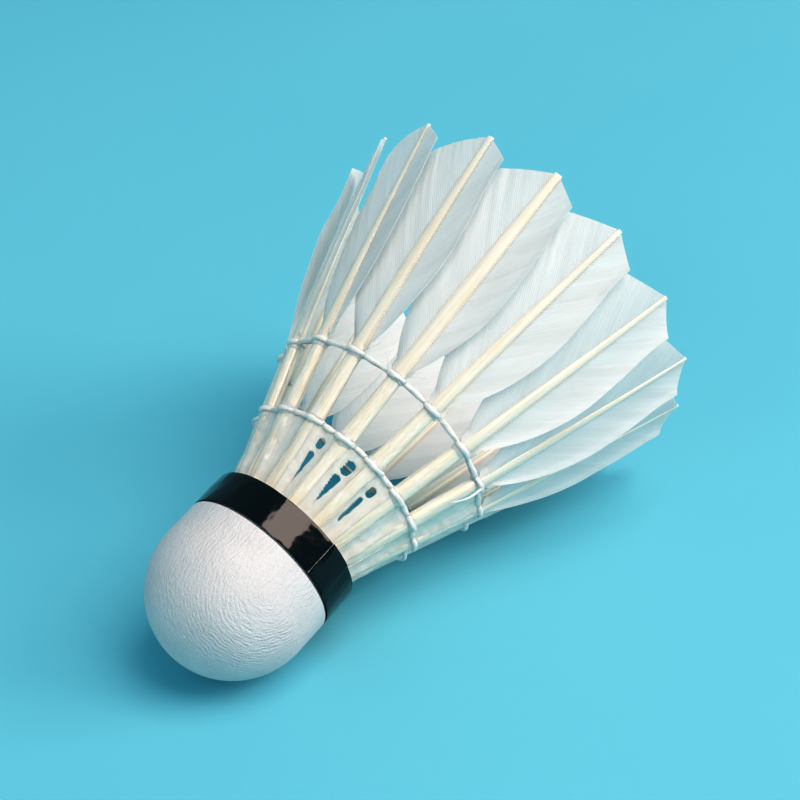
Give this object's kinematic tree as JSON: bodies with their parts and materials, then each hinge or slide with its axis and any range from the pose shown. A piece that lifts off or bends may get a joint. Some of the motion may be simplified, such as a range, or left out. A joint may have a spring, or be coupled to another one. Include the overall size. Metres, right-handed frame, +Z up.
{
  "type": "badminton shuttlecock",
  "caption": "Feather shuttlecock lying on its side: rounded leather-covered cork base, black tape band, and a flared skirt of overlapping feathers tied by threads.",
  "frame": {"origin": "on the ground, under the middle of the bounding box of the shuttlecock as it lies on its side", "axes": "+Z up; +X along the ground from the nose towards the open skirt; +Y completes the right-handed frame. The shuttlecock's own axis rises 15.7 degrees from +X in the XZ plane"},
  "size_m": [0.0898, 0.0652, 0.0635],
  "materials": {
    "leather": "satin",
    "tape": "gloss",
    "pressed_cork": "matte",
    "natural_cork": "matte",
    "glue": "gloss",
    "quill": "satin",
    "vane": "matte",
    "thread": "satin"
  },
  "bodies": {
    "root": {"leather_cover": "leather", "tape_band": "tape", "cork_nose": "pressed_cork", "cork_top": "natural_cork", "glue_bed": "glue", "lower_thread": "thread", "upper_thread": "thread", "feather_01_quill": "quill", "feather_01_narrow_vane": "vane", "feather_01_wide_vane": "vane", "feather_02_quill": "quill", "feather_02_narrow_vane": "vane", "feather_02_wide_vane": "vane", "feather_03_quill": "quill", "feather_03_narrow_vane": "vane", "feather_03_wide_vane": "vane", "feather_04_quill": "quill", "feather_04_narrow_vane": "vane", "feather_04_wide_vane": "vane", "feather_05_quill": "quill", "feather_05_narrow_vane": "vane", "feather_05_wide_vane": "vane", "feather_06_quill": "quill", "feather_06_narrow_vane": "vane", "feather_06_wide_vane": "vane", "feather_07_quill": "quill", "feather_07_narrow_vane": "vane", "feather_07_wide_vane": "vane", "feather_08_quill": "quill", "feather_08_narrow_vane": "vane", "feather_08_wide_vane": "vane", "feather_09_quill": "quill", "feather_09_narrow_vane": "vane", "feather_09_wide_vane": "vane", "feather_10_quill": "quill", "feather_10_narrow_vane": "vane", "feather_10_wide_vane": "vane", "feather_11_quill": "quill", "feather_11_narrow_vane": "vane", "feather_11_wide_vane": "vane", "feather_12_quill": "quill", "feather_12_narrow_vane": "vane", "feather_12_wide_vane": "vane", "feather_13_quill": "quill", "feather_13_narrow_vane": "vane", "feather_13_wide_vane": "vane", "feather_14_quill": "quill", "feather_14_narrow_vane": "vane", "feather_14_wide_vane": "vane", "feather_15_quill": "quill", "feather_15_narrow_vane": "vane", "feather_15_wide_vane": "vane", "feather_16_quill": "quill", "feather_16_narrow_vane": "vane", "feather_16_wide_vane": "vane"}
  },
  "joints": []
}
